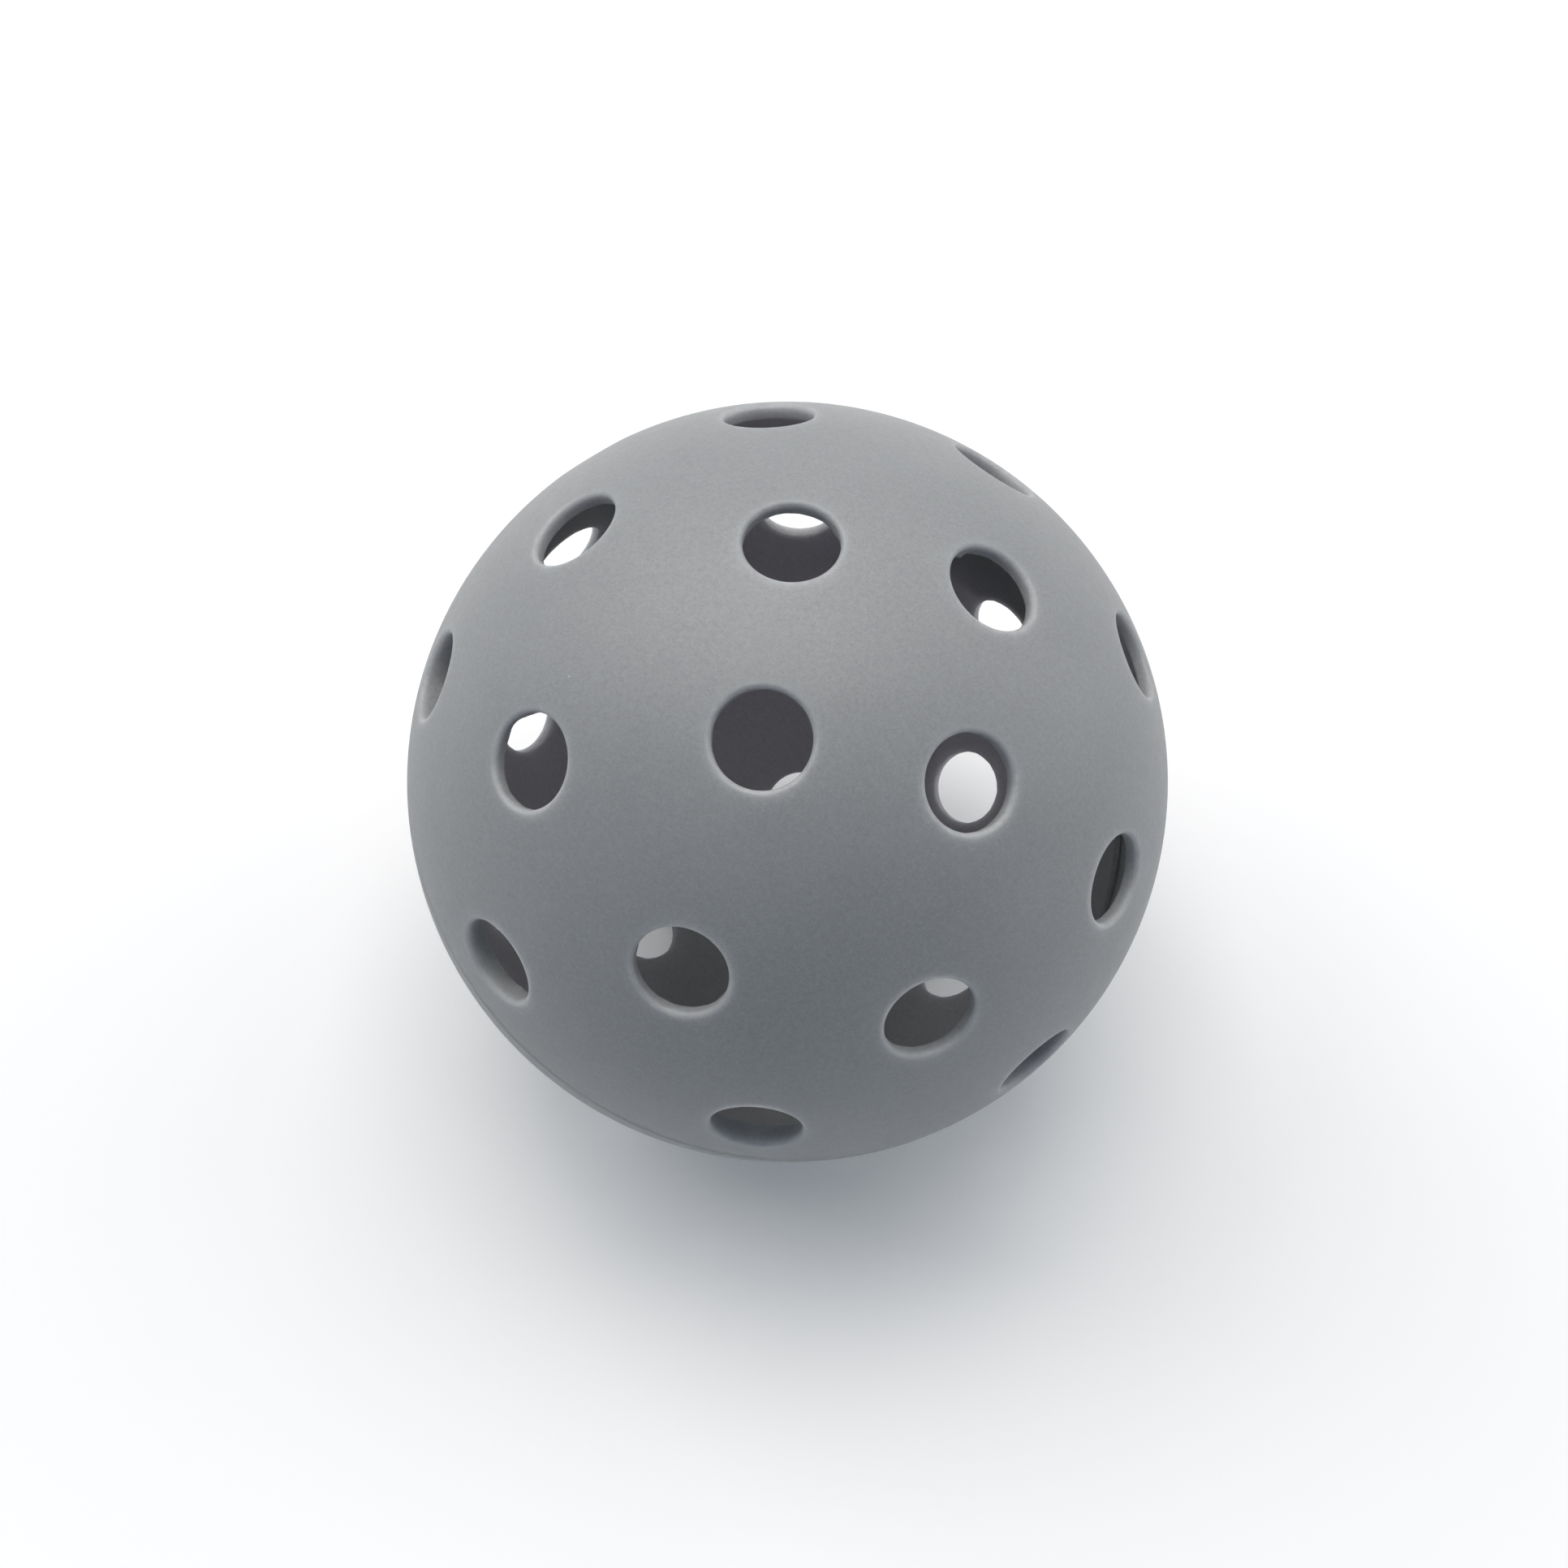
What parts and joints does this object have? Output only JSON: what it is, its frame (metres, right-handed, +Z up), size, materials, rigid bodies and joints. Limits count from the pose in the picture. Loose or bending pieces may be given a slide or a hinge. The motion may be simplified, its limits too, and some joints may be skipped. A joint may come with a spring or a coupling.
{
  "type": "pickleball",
  "caption": "Hollow perforated plastic ball of two half shells welded round the equator, lying on the rim of one hole.",
  "frame": {"origin": "centre of the ball", "axes": "+Z straight up when the ball rests on the rim of bottom_hole, whose axis is -Z; the axis through the middles of the two half shells leans from +Z towards +X; +Y completes the frame and lies in the weld plane; the upper half is turned 2.5 degrees about the poles, so the axis of top_hole leans 0.84 degrees from +Z towards +Y"},
  "size_m": [0.074, 0.074, 0.0735],
  "materials": {
    "shell": "satin grey moulded plastic",
    "weld": "melted grey plastic, satin"
  },
  "bodies": {
    "root": {"upper_half_shell": "shell", "lower_half_shell": "shell", "weld_bead": "weld"}
  },
  "joints": []
}
